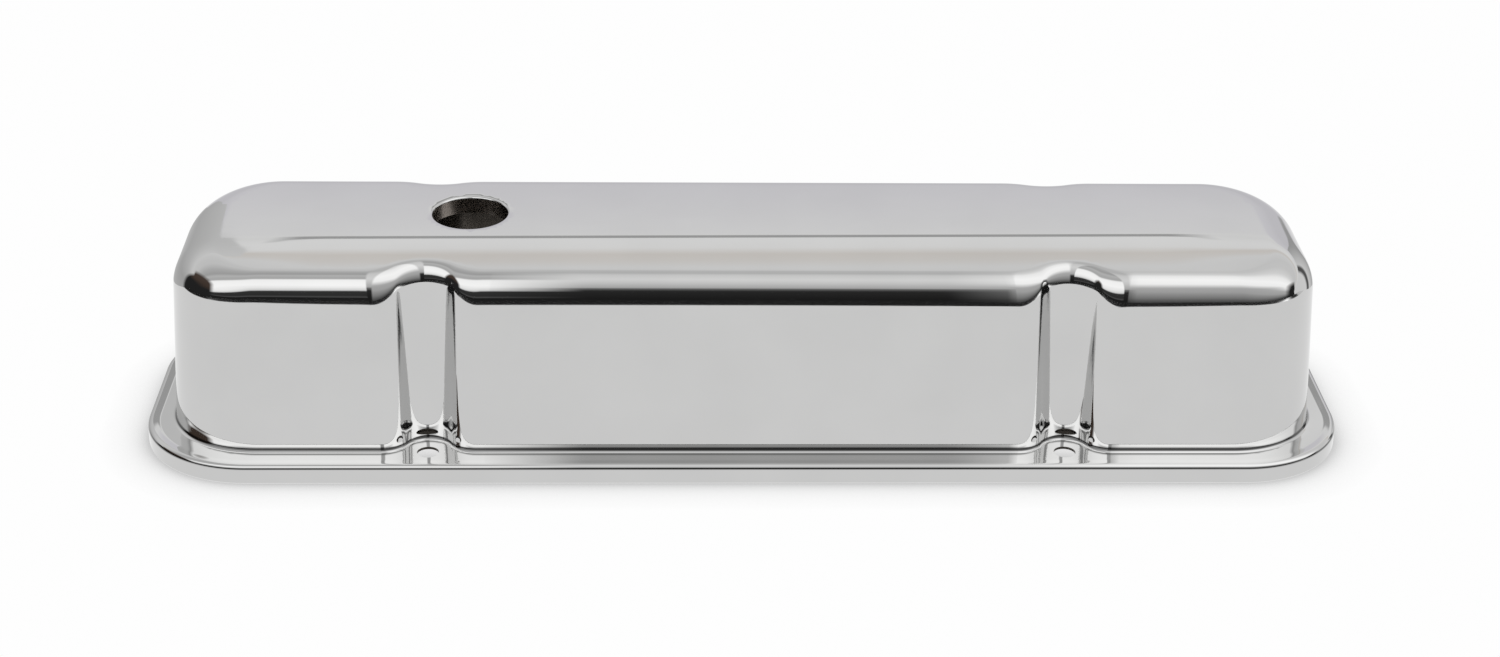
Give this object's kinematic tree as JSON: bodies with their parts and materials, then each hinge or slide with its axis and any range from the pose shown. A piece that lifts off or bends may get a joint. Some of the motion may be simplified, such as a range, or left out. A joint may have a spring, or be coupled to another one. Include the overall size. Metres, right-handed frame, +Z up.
{
  "type": "engine valve cover",
  "caption": "Long deep-drawn sheet-steel engine valve cover with a hemmed flange, bolt holes set in full-height scallops, and a turned-down breather hole in its rounded top.",
  "frame": {"origin": "bottom centre of the flange's hem, on the surface that the cover stands on", "axes": "+X along the cover, +Y across it from the front wall to the rear wall, +Z up through the top"},
  "size_m": [0.464, 0.124, 0.0796],
  "materials": {
    "chrome_plate": "polished chrome plate"
  },
  "bodies": {
    "root": {"valve_cover": "chrome_plate"}
  },
  "joints": []
}
